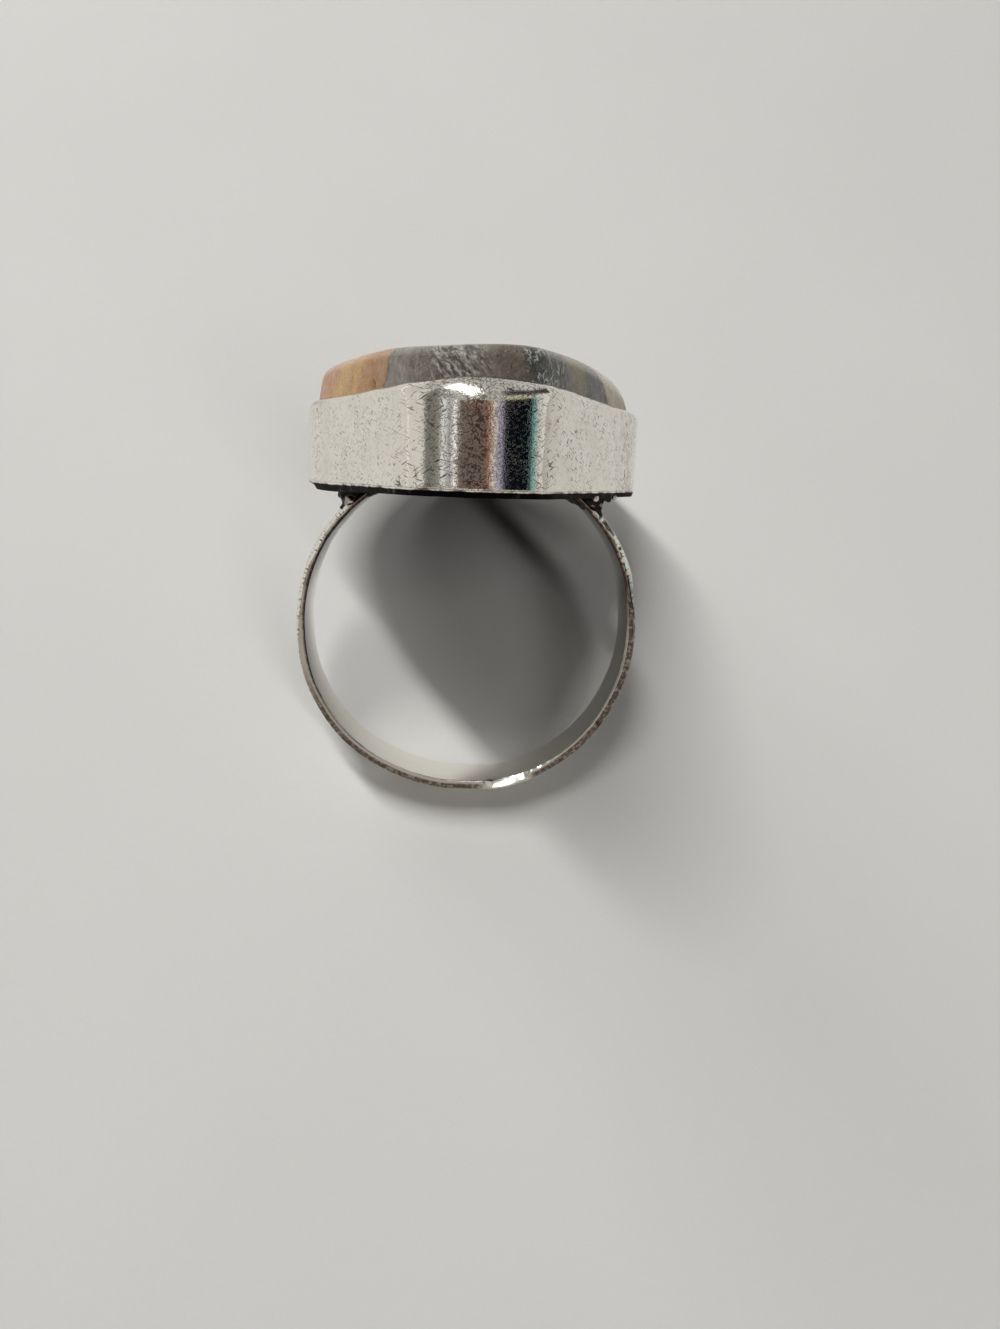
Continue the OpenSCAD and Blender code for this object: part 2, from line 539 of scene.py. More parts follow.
# ((across, up, along), radius)
bead_table = {
    "left": [
        ((-6.95, 7.0, 1.55), 0.28), ((-7.5, 7.3, 1.2), 0.3),
        ((-6.2, 7.35, 1.5), 0.2), ((-7.2, 6.75, 1.55), 0.2),
    ],
    "right": [
        ((6.5, 7.66, 6.1), 0.2), ((8.1, 7.68, 2.1), 0.17),
        ((6.5, 7.3, 1.4), 0.25), ((7.9, 7.5, 1.0), 0.22),
    ],
}


def add_bead(shape, middle, r):
    made = bmesh.ops.create_icosphere(shape, subdivisions=2, radius=r * MM)
    for point in made["verts"]:
        point.co += on_table(*middle)


def melt(joint):
    """Fuses the rough shapes into one skin and roughens it."""
    skin = joint.modifiers.new("skin", "REMESH")
    skin.mode = "VOXEL"
    skin.voxel_size = SKIN * MM
    soften = joint.modifiers.new("soften", "SMOOTH")
    soften.factor = 0.5
    soften.iterations = 4
    seen = bpy.context.evaluated_depsgraph_get()
    fused = bpy.data.meshes.new_from_object(joint.evaluated_get(seen))
    joint.modifiers.clear()
    joint.data = fused
    for point in fused.vertices:
        x, y, z = in_ring(point.co)
        lump = sum(height * uneven(x, y, z, size, seed) for height, size, seed in melt_lumps)
        pushed = in_ring(point.co + point.normal * lump * MM)
        pushed.y = min(pushed.y, plate_foot + 0.1)
        point.co = on_table(*pushed)
    finish_mesh(joint, sharp=180)


def make_joint(side_name, side):
    half = band_w * 0.44
    shape = bmesh.new()
    front = [shape.verts.new(on_table(side * x, y, half)) for x, y in joint_outline]
    back = [shape.verts.new(on_table(side * x, y, -half)) for x, y in joint_outline]
    shape.faces.new(front)
    shape.faces.new(list(reversed(back)))
    for i in range(len(front)):
        j = (i + 1) % len(front)
        shape.faces.new((front[j], front[i], back[i], back[j]))
    for middle, r in bead_table[side_name]:
        add_bead(shape, middle, r)
    bmesh.ops.recalc_face_normals(shape, faces=shape.faces)
    mesh = bpy.data.meshes.new("solder_" + side_name)
    shape.to_mesh(mesh)
    shape.free()
    joint = bpy.data.objects.new("solder_" + side_name, mesh)
    bpy.context.collection.objects.link(joint)
    melt(joint)
    return joint


joints = [make_joint(side_name, side) for side_name, side in SIDES.items()]
for joint in joints:
    part_of_ring(joint, "setting")

# %% [markdown]
# The stone is a slab of jasper ground to the pear's outline, with upright sides and a low dome
# on top. The edge between them is crisp at the nose and rubbed round on the right of the tail, and
# a few chips and pits are left in its side. Functions give each of these, as they did for the wall.

# %% Stone: the dome, the edge and the pits
CRISP_EDGE = 0.53
WORN_RIGHT = 2.2
WORN_LEFT = 0.3

# Where the top near the nose is full or hollow: (place across, height, width)
dome_waves = [(1.8, 0.11, 2.2), (-2.5, -0.07, 1.5)]

# Unevenness of the ground skin: (depth, size, seed)
ground_dents = [(0.02, 2.6, 11.0), (0.01, 0.5, 13.0)]

# Chips and pits: ((across, up, along), radius, depth)
pits = [
    ((-5.25, 12.86, 7.3), 0.26, 0.2),
    ((-0.35, 13.9, 14.65), 0.12, 0.05),
    ((6.1, 13.2, 5.9), 0.16, 0.06),
]


def dome_y(x, z):
    """Height of the domed top above the middle of the finger, a little fuller right of the nose."""
    curved = x * x / (2 * dome_r_across) + (z - dome_z) ** 2 / (2 * dome_r_along)
    fuller = sum(height * hump(x, middle, width) for middle, height, width in dome_waves)
    return rim_top + dome_rise - curved + fuller * hump(z, 15, 6)


def edge_r(x):
    """Radius of the rounded edge, much wider where the right of the tail is worn."""
    return CRISP_EDGE + WORN_RIGHT * max(0, x / round_r) ** 3 + WORN_LEFT * max(0, -x / round_r) ** 3


def stone_dent(x, y, z):
    """How far the stone's skin lies in from its ideal shape."""
    dent = sum(depth * (1 + uneven(x, y, z, size, seed)) for depth, size, seed in ground_dents)
    for (pit_x, pit_y, pit_z), r, depth in pits:
        off = sqrt((x - pit_x) ** 2 + (y - pit_y) ** 2 + (z - pit_z) ** 2)
        dent += depth * hump(off, 0, r)
    return dent


print("The dome's top stands", round(dome_y(0, dome_z) - rim_top, 2), "mm over the rim")

# %% [markdown]
# The stone's mesh is a loft too. Its rows are close together only where the stone shows above the
# rim, so that small pits and grinding marks are real shape there. The dome's rings shrink towards its
# highest point.

# %% Stone: its mesh
STONE_STEPS = 720
SIDE_ROWS = 16
EDGE_ROWS = 7
DOME_ROWS = 26
FOOT_BEVEL = 0.25
SEEN_DEPTH = 0.7
seen_foot = rim_top - SEEN_DEPTH
stone_foot = plate_top + stone_gap
hidden_rows = [(FOOT_BEVEL, stone_foot), (0.0, stone_foot + FOOT_BEVEL), (0.0, seen_foot)]


def stone_rows(way):
    """(inset, height) of each row at a way, from the foot up the side and over the edge."""
    x, z, out_x, out_z = pear_at(way)
    x, z = x - stone_inset * out_x, z - stone_inset * out_z
    r = edge_r(x)
    side_top = dome_y(x, z) - r
    rows = list(hidden_rows)
    for i in range(1, SIDE_ROWS + 1):
        rows.append((0.0, seen_foot + (side_top - seen_foot) * i / SIDE_ROWS))
    for i in range(1, EDGE_ROWS + 1):
        angle = pi / 2 * i / EDGE_ROWS
        inset = r * (1 - cos(angle))
        rows.append((inset, dome_y(x - inset * out_x, z - inset * out_z) - r * (1 - sin(angle))))
    return rows


def side_ring(ways, row_at_ways, is_seen):
    """One ring round the stone's side, set in from the wall. Only where it is seen has it dents."""
    ring = []
    for way, (inset, y) in zip(ways, row_at_ways):
        x, z, out_x, out_z = pear_at(way)
        inset += stone_inset - side_lean(way, y)
        x, z = x - inset * out_x, z - inset * out_z
        dent = stone_dent(x, y, z) if is_seen else 0
        ring.append((x + stone_shift - dent * out_x, y, z - dent * out_z))
    return ring


def dome_ring(rim, share):
    """The rim's ring, shrunk to a share of its size about the dome's highest point."""
    ring = []
    for x, _, z in rim:
        x, z = stone_shift + (x - stone_shift) * share, dome_z + (z - dome_z) * share
        ring.append((x, dome_y(x - stone_shift, z) - 0.3 * stone_dent(x, 0, z), z))
    return ring


def make_stone():
    ways = walk(STONE_STEPS)
    rows = list(zip(*(stone_rows(way) for way in ways)))
    hidden = len(hidden_rows)
    rings = [side_ring(ways, row, i >= hidden) for i, row in enumerate(rows)]
    rings += [dome_ring(rings[-1], 1 - i / DOME_ROWS) for i in range(1, DOME_ROWS)]
    stone = loft("jasper", rings, sharp=60)
    first_polished = hidden + SIDE_ROWS + 1
    store(stone, "polish", [float(row >= first_polished) for row in range(len(rings)) for _ in ways])
    return stone


jasper = make_stone()
part_of_ring(jasper, "stone")

# %% [markdown]
# Finishes are node trees. Built by hand they are dragged and wired in the editor; in a script a few
# short helpers do the same. Each helper adds one node or a few, sets or wires its inputs, and gives
# back its output, so a finish reads as a recipe. The first helpers deal with colours and numbers.

# %% Helpers for finishes: colours and numbers
def paint(red, green, blue):
    """A colour as it looks on a screen, 0 to 255, as the light values that the shaders use."""
    light = [c / 255 for c in (red, green, blue)]
    light = [c / 12.92 if c <= 0.04045 else ((c + 0.055) / 1.055) ** 2.4 for c in light]
    return (*light, 1.0)


def add(tree, kind, given, **settings):
    """Adds a node. given names its inputs, each with a value or with another node's output."""
    node = tree.nodes.new(kind)
    for key, value in settings.items():
        setattr(node, key, value)
    for key, value in given.items():
        if isinstance(value, bpy.types.NodeSocket):
            tree.links.new(value, node.inputs[key])
        else:
            node.inputs[key].default_value = value
    return node


def read(tree, name):
    """What a piece stored on its points under this name."""
    node = add(tree, "ShaderNodeAttribute", {}, attribute_name=name)
    return node.outputs["Vector" if name == "ring_mm" else "Fac"]


def chain(tree, operation, values):
    """Joins two or more values one after another with one operation."""
    result = values[0]
    for value in values[1:]:
        result = add(tree, "ShaderNodeMath", {0: result, 1: value}, operation=operation).outputs[0]
    return result


def times(tree, *values):
    return chain(tree, "MULTIPLY", values)


def plus(tree, *values):
    return chain(tree, "ADD", values)


def minus(tree, *values):
    return chain(tree, "SUBTRACT", values)


def most(tree, *values):
    return chain(tree, "MAXIMUM", values)


def size_of(tree, value):
    """A value without its sign."""
    return add(tree, "ShaderNodeMath", {0: value}, operation="ABSOLUTE").outputs[0]


def fade(tree, value, low, high, to_low=0.0, to_high=1.0):
    """Turns a value into a soft step between two of its levels."""
    given = {"Value": value, "From Min": low, "From Max": high, "To Min": to_low, "To Max": to_high}
    node = add(tree, "ShaderNodeMapRange", given, interpolation_type="SMOOTHSTEP")
    return node.outputs["Result"]


def fade_line(tree, value, low, high):
    """An even share of the way from one level to another."""
    given = {"Value": value, "From Min": low, "From Max": high}
    return add(tree, "ShaderNodeMapRange", given).outputs["Result"]


def hump_node(tree, value, middle, width):
    """1 at a level of a value, fading to 0 a width away on both sides."""
    return fade(tree, size_of(tree, minus(tree, value, middle)), width, 0.0)


def mix(tree, share, a, b):
    """One colour over another by a share."""
    node = add(tree, "ShaderNodeMix", {"Factor": share, 6: a, 7: b}, data_type="RGBA")
    return node.outputs[2]


def ramp(tree, value, stops):
    """Colours along a value: stops is a list of (place from 0 to 1, colour)."""
    node = add(tree, "ShaderNodeValToRGB", {"Fac": value})
    band = node.color_ramp
    while len(band.elements) < len(stops):
        band.elements.new(1.0)
    for element, (place, colour) in zip(band.elements, stops):
        element.position = place
        element.color = colour
    return node.outputs["Color"]


print("Warm silver in light values:", [round(c, 3) for c in paint(246, 242, 233)])

# %% [markdown]
# The other helpers deal with places: where a point lies, grain that fills space as it fills real
# stone, and a tilt of the light that stands for dents too fine to model. An image wrapped round the
# ring would need unwrapping and would stretch; grain in space needs neither.

# %% Helpers for finishes: places and grain
def axis(tree, at, name):
    """One part of a place or a direction: X, Y or Z."""
    return add(tree, "ShaderNodeSeparateXYZ", {0: at}).outputs[name]


def sheet_of(tree, across, up):
    """Two measures as a flat sheet that grain can lie on."""
    return add(tree, "ShaderNodeCombineXYZ", {0: across, 1: up}).outputs[0]


def along_line(tree, at, direction):
    """How far a place lies along a direction."""
    node = add(tree, "ShaderNodeVectorMath", {0: at, 1: direction}, operation="DOT_PRODUCT")
    return node.outputs["Value"]


def ball(tree, at, middle, r, soft=0.5):
    """1 inside a ball round a place, fading to 0 at its skin."""
    node = add(tree, "ShaderNodeVectorMath", {0: at, 1: middle}, operation="DISTANCE")
    return fade(tree, node.outputs["Value"], r * (1 + soft), r * (1 - soft))


def stretched(tree, at, scale, spin=(0, 0, 0), shift=(0, 0, 0)):
    """The same places seen through a squeezed and turned grid, for grain that runs one way."""
    turned = add(tree, "ShaderNodeMapping", {"Vector": at, "Rotation": spin, "Location": shift})
    given = {"Vector": turned.outputs[0], "Scale": scale}
    return add(tree, "ShaderNodeMapping", given).outputs[0]


def grain(tree, at, scale, detail=3.0, rough=0.55, warp=0.0):
    """Cloudy noise, about 0.5 on average, with a scale in lumps for each millimetre."""
    given = {"Vector": at, "Scale": scale, "Detail": detail, "Roughness": rough, "Distortion": warp}
    return add(tree, "ShaderNodeTexNoise", given).outputs["Fac"]


def bump(tree, height, depth_mm, under=None):
    """Tilts the light on a surface as if it rose and fell by a depth in millimetres."""
    given = {"Height": height, "Distance": depth_mm * MM, "Strength": 1.0}
    if under is not None:
        given["Normal"] = under
    return add(tree, "ShaderNodeBump", given).outputs[0]


def new_finish(name):
    """An empty material with its shader, ready for a recipe."""
    finish = bpy.data.materials.new(name)
    finish.use_nodes = True
    tree = finish.node_tree
    return finish, tree, tree.nodes["Principled BSDF"]


def wire(tree, shader, **inputs):
    """Joins outputs to the shader's inputs, or sets them."""
    for key, value in inputs.items():
        socket = shader.inputs[key.replace("_", " ")]
        if isinstance(value, bpy.types.NodeSocket):
            tree.links.new(value, socket)
        else:
            socket.default_value = value


def wear(piece, finish):
    """Puts a finish on a piece."""
    piece.data.materials.append(finish)
    print(piece.name, "wears", finish.name, "of", len(finish.node_tree.nodes), "nodes")


# %% [markdown]
# Polished silver that has been worn for years keeps a bright surface with many short scratches,
# small pits and a faint warm film. A single flat roughness looks like plastic foil. Here the
# scratches are thin stretched noise in three directions, crowded in some places and sparse in others.
# They lie on the wall as if it were unrolled into a flat sheet, so that they keep their size where
# the rim rolls over.

# %% Scratches on the bezel wall
silver_light = paint(246, 242, 233)
silver_film = paint(222, 214, 198)
scratch_dark = paint(84, 77, 70)
# Brown of tarnish; on the band's near face it also serves as painted shade and painted reflection.
tarnish_and_shade_brown = paint(106, 92, 86)

# (how far the marks are turned, how rare they are, where their grain begins)
scratch_sets = [(0.25, 0.635, (0, 0, 1)), (-0.5, 0.645, (3, 5, 2)), (1.2, 0.68, (7, 1, 3))]
long_strokes = (0.6, 0.57, (2, 8, 5))


def scratches(tree, sheet, spin, level, shift):
    """Short thin marks that run one way. A higher level leaves fewer of them."""
    lines = grain(tree, stretched(tree, sheet, (1.6, 12.0, 1.0), (0, 0, spin), shift), 1.0, 1.0, 0.4)
    return fade(tree, lines, level, level + 0.03)


def wall_scratches(tree, sheet, way):
    """The three sets of scratches, and a patch of stronger strokes far round on the right."""
    marks = most(tree, *[scratches(tree, sheet, *row) for row in scratch_sets])
    crowd = fade(tree, grain(tree, sheet, 0.45, 2.0), 0.4, 0.58, 0.35, 1.0)
    strokes = scratches(tree, sheet, *long_strokes)
    strokes = times(tree, strokes, hump_node(tree, way, 18.5, 3.0))
    return most(tree, times(tree, marks, crowd), strokes)


print("Scratches run at", [round(degrees(row[0])) for row in scratch_sets], "degrees")

# %% [markdown]
# The nose is worn most. Years of rubbing have etched small dark curls into it, closest together just
# at the tip. A level line through warped noise is curly by itself, so the curls need no drawing.

# %% Worn silver of the bezel wall
NOSE_MIDDLE = 0.65
NOSE_HALF = 2.9
NOSE_FADE = 0.1
STAIN_WAY = -20.5


def nose_wear(tree, sheet, ragged, at_nose):
    """Dark curls etched into the nose, closest together at its tip."""
    curls = grain(tree, sheet, 5.0, 1.5, 0.6, 0.6)
    etched = times(tree, hump_node(tree, curls, 0.5, 0.05), at_nose, 0.7)
    tip = times(tree, hump_node(tree, curls, 0.47, 0.1), hump_node(tree, ragged, 0.3, 1.3))
    return most(tree, etched, tip)


def wall_film(tree, way, cloud):
    """Clean silver under a faint warm film, with a brown stain along the rim on the far left."""
    height = axis(tree, read(tree, "ring_mm"), "Y")
    film = mix(tree, fade(tree, cloud, 0.35, 0.75, 0.0, 0.5), silver_light, silver_film)
    stain = times(tree, hump_node(tree, way, STAIN_WAY, 4.0), fade(tree, height, 12.3, 12.55), 0.8)
    return mix(tree, stain, film, tarnish_and_shade_brown)


def make_wall_silver():
    finish, tree, shader = new_finish("worn_silver")
    way = read(tree, "way_mm")
    sheet = sheet_of(tree, way, read(tree, "climb_mm"))
    ragged = plus(tree, way, times(tree, grain(tree, sheet, 3.0), 0.6))
    off_nose = size_of(tree, minus(tree, ragged, NOSE_MIDDLE))
    at_nose = fade(tree, off_nose, NOSE_HALF + NOSE_FADE, NOSE_HALF - NOSE_FADE)
    pitting = fade(tree, grain(tree, sheet, 6.5, 2.0), 0.67, 0.71)
    worn = most(tree, wall_scratches(tree, sheet, way), pitting, nose_wear(tree, sheet, ragged, at_nose))
    cloud = grain(tree, sheet, 0.5, 4.0)
    colour = mix(tree, times(tree, worn, 0.92), wall_film(tree, way, cloud), scratch_dark)
    rough = plus(tree, fade(tree, cloud, 0.3, 0.7, 0.04, 0.07), times(tree, worn, 0.05))
    ripple = times(tree, grain(tree, sheet, 6.5, 3.0, 0.6, 1.0), fade(tree, at_nose, 0.0, 1.0, 0.5, 1.0))
    skin = bump(tree, minus(tree, 1.0, worn), 0.0016, bump(tree, ripple, 0.004))
    wire(tree, shader, Base_Color=colour, Metallic=1.0, Roughness=rough, Normal=skin)
    return finish


wear(bezel_wall, make_wall_silver())

# %% [markdown]
# Silver turns brown where hands and polish never reach. On the band a brown film lies along the near edge
# at the bottom, lower right, and along the inner edge of both arms, while the filed corners stay bright
# with small dark ticks. The film at the bottom and lower right is partly real tarnish and partly painted
# shade and painted reflection: it darkens the outer part of the near face where shade falls under the band,
# and stands in for the dark that the near face mirrors. On the inside of both arms a deeper brown is
# painted reflection, the dark that the inner wall mirrors next to its near edge. One mask per place says
# where the film is, and noise breaks up its border. Painting it by hand would work too, but a mask in
# degrees is easier to move.

# %% Tarnished silver of the band, with painted shade and reflection
MM_PER_DEGREE = 0.17
FLAT_ANGLE = 285.5
# A deeper brown for the inside of both arms: painted reflection of the dark that the inner wall mirrors.
painted_reflection_brown = paint(70, 58, 52)


def band_film_and_shade(tree, angle, out, flat):
    """Where the near face is brown, partly tarnish and partly painted shade and painted reflection: along
    the bottom but for the flat, and on the lower right.
    """
    bottom = times(
        tree, fade(tree, angle, 190, 215), fade(tree, angle, 350, 335),
        fade(tree, out, 0.3, 0.52), fade(tree, flat, 0.3, 0.0),
    )
    low_right = times(
        tree, fade(tree, angle, 296, 310), fade(tree, angle, 385, 368), fade(tree, out, 0.15, 0.3),
    )
    return most(tree, bottom, low_right)


def make_band_silver():
    finish, tree, shader = new_finish("band_silver")
    at = read(tree, "ring_mm")
    near = axis(tree, at, "Z")
    out = read(tree, "outness")
    angle = read(tree, "angle_deg")
    unrolled = sheet_of(tree, times(tree, angle, MM_PER_DEGREE), near)
    ticks = grain(tree, stretched(tree, unrolled, (9.0, 3.0, 1.0)), 1.0, 3.0, 0.6)
    ticks = times(tree, fade(tree, ticks, 0.54, 0.62, 0.0, 0.8), read(tree, "filed"))
    flat = hump_node(tree, angle, FLAT_ANGLE, 12)
    arms = most(tree, fade(tree, angle, 250, 170), fade(tree, angle, 345, 385))
    inner_edge = times(tree, arms, fade(tree, out, 0.4, 0.2))
    # The film is partly real tarnish and partly painted shade and painted reflection on the near face.
    film = most(tree, band_film_and_shade(tree, angle, out, flat), inner_edge)
    patchy = fade(tree, grain(tree, at, 5.0, 4.0), 0.35, 0.55, 0.5, 0.95)
    film = times(tree, film, fade(tree, near, 1.3, 1.6), patchy)
    colour = mix(tree, most(tree, ticks, film), silver_light, tarnish_and_shade_brown)
    # Painted reflection: the inner wall of both arms is darkened next to its near edge, fading away from
    # it.
    inside = times(tree, arms, fade(tree, out, 0.2, 0.08), fade(tree, near, -2.2, 1.7))
    colour = mix(tree, inside, colour, painted_reflection_brown)
    rough = fade(tree, grain(tree, at, 1.2, 3.0), 0.3, 0.7, 0.08, 0.16)
    rough = plus(tree, rough, times(tree, flat, fade(tree, near, 1.3, 1.45)))
    rough = chain(tree, "MINIMUM", (rough, 0.2))
    skin = bump(tree, grain(tree, stretched(tree, unrolled, (1.0, 6.0, 1.0)), 1.0, 3.0), 0.004)
    wire(tree, shader, Base_Color=colour, Metallic=1.0, Roughness=rough, Normal=skin)
    return finish


wear(shank, make_band_silver())

# %% [markdown]
# The plate's filed edge was never polished and has turned almost black. Black tarnish is no longer
# bare metal, so one reading of how stained a point is drives everything together: the colour, the
# roughness, how metallic the surface is, and how much it shines.

# %% Black silver of the plate
tarnish_black = paint(7, 6, 6)


def make_plate_silver():
    finish, tree, shader = new_finish("plate_silver")
    at = read(tree, "ring_mm")
    cloud = grain(tree, at, 1.1, 5.0, 0.62)
    stained = plus(tree, read(tree, "tarnish"), fade(tree, cloud, 0.3, 0.7, -0.3, 0.3))
    film = mix(tree, fade(tree, stained, 0.1, 0.55), silver_light, tarnish_and_shade_brown)
    black = fade(tree, stained, 0.5, 0.8)
    colour = mix(tree, black, film, tarnish_black)
    rough = fade(tree, stained, 0.1, 0.9, 0.18, 0.55)
    bare = fade(tree, black, 0.0, 1.0, 1.0, 0.0)
    shine = fade(tree, black, 0.0, 1.0, 0.5, 0.02)
    skin = bump(tree, grain(tree, at, 2.5, 5.0), 0.03)
    wire(tree, shader, Base_Color=colour, Metallic=bare, Roughness=rough, Normal=skin)
    wire(tree, shader, Specular_IOR_Level=shine)
    return finish


wear(backplate, make_plate_silver())

# %% [markdown]
# Solder oxidises darker than the silver beside it. Its lumps are almost black and dull, and only the
# high spots that were rubbed show bright, slightly pink metal. Noise picks most of these spots, and
# soft balls in space pick the few beads that are known to be bright.

# %% Black solder
# ((across, up, along), radius) of each bright place
rubbed_beads = [((-7.0, 6.95, 1.9), 0.42), ((6.65, 7.6, 6.15), 0.24), ((8.25, 7.6, 2.15), 0.22)]


def make_solder():
    finish, tree, shader = new_finish("black_solder")
    at = read(tree, "ring_mm")
    rubbed = fade(tree, grain(tree, at, 2.6, 4.0, 0.6), 0.64, 0.7)
    rubbed = most(tree, rubbed, *[ball(tree, at, middle, r, 0.2) for middle, r in rubbed_beads])
    colour = mix(tree, rubbed, paint(24, 21, 20), paint(216, 200, 196))
    rough = fade(tree, rubbed, 0.0, 1.0, 0.45, 0.15)
    bare = fade(tree, rubbed, 0.0, 1.0, 0.2, 1.0)
    skin = bump(tree, grain(tree, at, 5.0, 4.0, 0.6), 0.04)
    wire(tree, shader, Base_Color=colour, Metallic=bare, Roughness=rough, Normal=skin)
    return finish


black_solder = make_solder()
for joint in joints:
    wear(joint, black_solder)

# %% [markdown]
# Jasper is coloured right through, so its bands are slabs in space rather than paint on a
# surface. The colour is worked out from a point's place: a warm part towards the tail on the left,
# grey and brown rock at the nose, and between them a sharp slanted border. The warm part comes
# first, as a ramp of colours across the slabs with darker streaks and spots over it.

# %% Jasper: the warm part
BORDER = -4.75
WARM_DEPTH = 14.1
slab_way = (0.487, -0.8, 0.873)

# (share of the way from the tail to the border, colour)
warm_bands = [
    (0.0, paint(196, 160, 132)), (0.2, paint(198, 150, 118)), (0.33, paint(200, 152, 110)),
    (0.4, paint(208, 170, 112)), (0.5, paint(206, 166, 108)), (0.56, paint(188, 146, 92)),
    (0.62, paint(208, 164, 100)), (0.7, paint(186, 138, 86)), (0.82, paint(178, 128, 84)),
    (1.0, paint(168, 124, 80)),
]

# (level of the cloud, colour)
beige_grain = [(0.3, paint(198, 188, 162)), (0.7, paint(230, 220, 192))]


def warm_rock(tree, at, ragged, slab):
    """Salmon, ochre and orange bands that follow each other to the border, and beige on the right."""
    share = fade_line(tree, slab, BORDER - WARM_DEPTH, BORDER)
    bands = ramp(tree, share, warm_bands)
    streak = grain(tree, stretched(tree, at, (1.6, 0.35, 1.6)), 1.0, 3.0, 0.6)
    bands = mix(tree, fade(tree, streak, 0.52, 0.68, 0.0, 0.5), bands, paint(168, 118, 66))
    mottle = fade(tree, grain(tree, at, 3.0, 4.0, 0.7), 0.55, 0.68)
    spots = times(tree, mottle, fade(tree, share, 0.6, 0.85), 0.7)
    bands = mix(tree, spots, bands, paint(140, 84, 50))
    beige = ramp(tree, grain(tree, at, 0.8, 4.0), beige_grain)
    return mix(tree, fade(tree, axis(tree, ragged, "X"), 1.5, 6.0), bands, beige)


print("The warm bands lie", WARM_DEPTH, "mm deep across the slabs")

# %% [markdown]
# The grey part is crumbly rock: a cloud of noise spread over three tones, one set for the nose and a
# bluer one for the right, with dark and pale specks of about a tenth of a millimetre over them.

# %% Jasper: the grey part
# (level of the cloud, colour)
grey_grain = [(0.32, paint(82, 74, 66)), (0.5, paint(120, 112, 102)), (0.68, paint(150, 142, 130))]
blue_grain = [(0.35, paint(66, 66, 68)), (0.55, paint(112, 112, 112)), (0.7, paint(142, 140, 132))]
streak_grain = [(0.4, paint(52, 48, 45)), (0.5, paint(114, 108, 102)), (0.6, paint(188, 186, 178))]


def grey_rock(tree, at):
    """Grey-brown rock with speckles, redder just right of the nose and blue-grey on the right."""
    cloud = grain(tree, at, 1.2, 5.0, 0.65)
    side = axis(tree, at, "X")
    rock = ramp(tree, cloud, grey_grain)
    rock = mix(tree, fade(tree, side, 0.2, 1.2, 0.0, 0.45), rock, paint(92, 76, 66))
    rock = mix(tree, fade(tree, side, 3.2, 4.6), rock, ramp(tree, cloud, blue_grain))
    specks = fade(tree, grain(tree, at, 7.0, 3.0, 0.6), 0.57, 0.65)
    rock = mix(tree, times(tree, specks, 0.6), rock, paint(44, 38, 34))
    light_specks = fade(tree, grain(tree, at, 9.0, 2.0, 0.6), 0.62, 0.68)
    return mix(tree, times(tree, light_specks, 0.5), rock, paint(176, 170, 158))


def warped(tree, at, scale, reach):
    """Places pushed about by noise, so that borders come out ragged."""
    given = {"Vector": at, "Scale": scale, "Detail": 4.0, "Roughness": 0.6}
    push = add(tree, "ShaderNodeTexNoise", given).outputs["Color"]
    push = add(tree, "ShaderNodeVectorMath", {0: push, 1: (0.5, 0.5, 0.5)}, operation="SUBTRACT").outputs[0]
    given = {0: push, 1: (reach, reach, reach), 2: at}
    return add(tree, "ShaderNodeVectorMath", given, operation="MULTIPLY_ADD").outputs[0]


def crystal_web(tree, at):
    """Thin branching white lines over black, along the borders of random cells."""
    given = {"Vector": warped(tree, at, 2.5, 0.5), "Scale": 2.6, "Randomness": 1.0}
    cells = add(tree, "ShaderNodeTexVoronoi", given, feature="DISTANCE_TO_EDGE").outputs["Distance"]
    broken = fade(tree, grain(tree, at, 1.8, 3.0), 0.4, 0.6, 0.02, -0.09)
    lines = fade(tree, minus(tree, cells, broken), 0.1, 0.03)
    ground = fade(tree, grain(tree, at, 5.0, 4.0, 0.7), 0.4, 0.65)
    ground = mix(tree, ground, paint(24, 26, 27), paint(84, 86, 82))
    return mix(tree, lines, ground, paint(196, 198, 190))


print("The grey rock has", len(grey_grain), "tones at the nose and", len(blue_grain), "on the right")

# %% [markdown]
# The whole stone joins the two parts at the ragged border. Spots such as the white web of crystals
# are soft balls in space that let another pattern show. A dark line and a slate-grey seam follow the
# border, and fine crumbs cover everything. The ground side is duller than the polished top.

# %% Jasper: the whole recipe
def spotted(tree, ragged, at):
    """The grey rock with its streaks at the nose, the web of crystals and one olive spot."""
    streak = grain(tree, stretched(tree, at, (7.0, 2.4, 2.0), (0, 0, -0.7)), 1.0, 4.0, 0.7)
    at_streaks = times(tree, ball(tree, ragged, (-1.0, 13.6, 14.3), 1.3), 0.8)
    grey = mix(tree, at_streaks, grey_rock(tree, at), ramp(tree, streak, streak_grain))
    grey = mix(tree, ball(tree, ragged, (3.6, 13.6, 12.3), 2.1, 0.2), grey, crystal_web(tree, at))
    return mix(tree, ball(tree, ragged, (5.3, 14.7, 8.0), 1.9), grey, paint(142, 134, 96))


